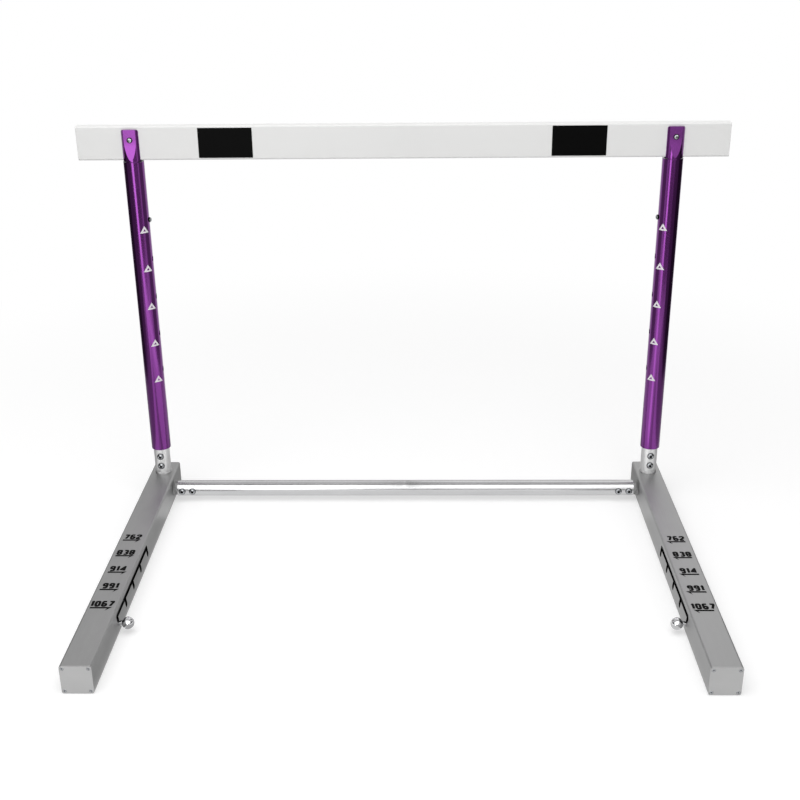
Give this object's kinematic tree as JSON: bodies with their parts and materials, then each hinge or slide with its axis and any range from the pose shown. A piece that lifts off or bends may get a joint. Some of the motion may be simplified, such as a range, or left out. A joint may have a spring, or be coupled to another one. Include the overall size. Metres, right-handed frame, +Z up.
{
  "type": "track hurdle",
  "caption": "Height-adjustable track hurdle: a white crossbar on telescoping posts, carried by box legs with sliding counterweights.",
  "frame": {"origin": "centre of the footprint on the ground, midway between the posts and between the legs' toe and heel ends", "axes": "+Z up, +X along the crossbar, +Y from the legs' toe ends towards the posts"},
  "size_m": [1.2, 0.7, 0.762],
  "materials": {
    "leg_aluminium": "satin extruded aluminium",
    "bright_aluminium": "drawn tube, fine lengthwise lines",
    "purple_anodised": "glossy purple over tube",
    "white_plastic": "smooth, half matt",
    "black_film": "thin film, half matt",
    "zinc_steel": "zinc plated",
    "chrome_steel": "polished chrome",
    "cast_weight": "raw casting",
    "spring_steel": "tempered strip"
  },
  "bodies": {
    "base": {"leg_left": "leg_aluminium", "leg_right": "leg_aluminium", "toe_plate_left": "bright_aluminium", "toe_plate_right": "bright_aluminium", "heel_plate_left": "bright_aluminium", "heel_plate_right": "bright_aluminium", "post_stub_left": "bright_aluminium", "post_stub_right": "bright_aluminium", "inner_post_left": "bright_aluminium", "inner_post_right": "bright_aluminium", "post_screw_lower_left": "zinc_steel", "post_screw_lower_right": "zinc_steel", "post_screw_upper_left": "zinc_steel", "post_screw_upper_right": "zinc_steel", "button_spring_left": "spring_steel", "button_spring_right": "spring_steel", "base_stub_left": "bright_aluminium", "base_stub_right": "bright_aluminium", "base_screw_outer_left": "zinc_steel", "base_screw_outer_right": "zinc_steel", "base_screw_inner_left": "zinc_steel", "base_screw_inner_right": "zinc_steel", "base_tube": "bright_aluminium"},
    "upper": {"outer_post_left": "purple_anodised", "outer_post_right": "purple_anodised", "post_head_left": "purple_anodised", "post_head_right": "purple_anodised", "bar_bolt_left": "zinc_steel", "bar_bolt_right": "zinc_steel", "bar_washer_left": "zinc_steel", "bar_washer_right": "zinc_steel", "bar_nut_left": "zinc_steel", "bar_nut_right": "zinc_steel", "bar_end_cap_left": "white_plastic", "bar_end_cap_right": "white_plastic", "black_panel_left": "black_film", "black_panel_right": "black_film", "crossbar": "white_plastic"},
    "button_left": {"height_button_left": "zinc_steel"},
    "weight_left": {"weight_left": "cast_weight"},
    "knob_left": {"knob_stem_left": "chrome_steel", "knob_ball_left": "chrome_steel"},
    "button_right": {"height_button_right": "zinc_steel"},
    "weight_right": {"weight_right": "cast_weight"},
    "knob_right": {"knob_stem_right": "chrome_steel", "knob_ball_right": "chrome_steel"}
  },
  "joints": [
    {"name": "height_slide", "type": "slide", "parent": "base", "child": "upper", "axis": [0, 0, 1], "range_m": [0, 0.3048], "deforming": ["height_button_left", "height_button_right"]},
    {"name": "button_press_left", "type": "slide", "parent": "base", "child": "button_left", "axis": [-1, 0, 0], "range_m": [0, 0.0075], "stiffness_N_per_m": 1500, "springref_m": -0.004, "deforming": ["button_spring_left"]},
    {"name": "weight_slide_left", "type": "slide", "parent": "base", "child": "weight_left", "axis": [0, 1, 0], "range_m": [0, 0.22], "deforming": ["knob_stem_left"]},
    {"name": "knob_lift_left", "type": "slide", "parent": "weight_left", "child": "knob_left", "axis": [0, -0.309, 0.9511], "range_m": [0, 0.0173]},
    {"name": "button_press_right", "type": "slide", "parent": "base", "child": "button_right", "axis": [1, 0, 0], "range_m": [0, 0.0075], "stiffness_N_per_m": 1500, "springref_m": -0.004, "deforming": ["button_spring_right"]},
    {"name": "weight_slide_right", "type": "slide", "parent": "base", "child": "weight_right", "axis": [0, 1, 0], "range_m": [0, 0.22], "deforming": ["knob_stem_right"]},
    {"name": "knob_lift_right", "type": "slide", "parent": "weight_right", "child": "knob_right", "axis": [0, -0.309, 0.9511], "range_m": [0, 0.0173]}
  ]
}
